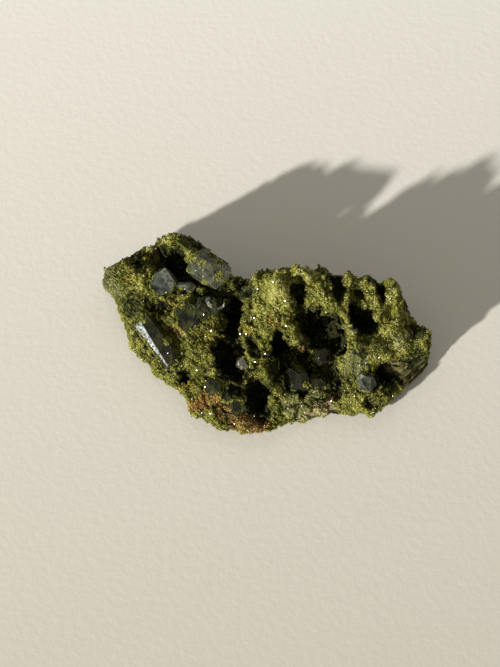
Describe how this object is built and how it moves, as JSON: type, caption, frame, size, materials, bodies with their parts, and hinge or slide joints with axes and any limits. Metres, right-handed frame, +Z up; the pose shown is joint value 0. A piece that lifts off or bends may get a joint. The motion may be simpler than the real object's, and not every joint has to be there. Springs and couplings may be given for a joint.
{
  "type": "epidote crystal cluster",
  "caption": "Loose epidote hand specimen: a knobbly ridge-and-hollow crust with layered ledges at one end and glassy quartz crystals seated in its hollows.",
  "frame": {"origin": "middle of the bounding box in X and Y, on the flat broken face that the specimen rests on", "axes": "+X along the specimen's length, from the rounded knob to the layered end; +Z up; -Y towards the camera of the picture"},
  "size_m": [0.0668, 0.0422, 0.0232],
  "materials": {
    "epidote": "yellow-green to olive crystalline crust, rust-brown in places",
    "quartz": "grey to smoky, glassy crystal with pale veils"
  },
  "bodies": {
    "root": {"epidote_matrix": "epidote", "quartz_upper_left": "quartz", "quartz_upper": "quartz", "quartz_sliver": "quartz", "quartz_middle": "quartz", "quartz_long": "quartz", "quartz_lower_left": "quartz", "quartz_centre": "quartz", "quartz_smoky": "quartz", "quartz_right": "quartz"}
  },
  "joints": []
}
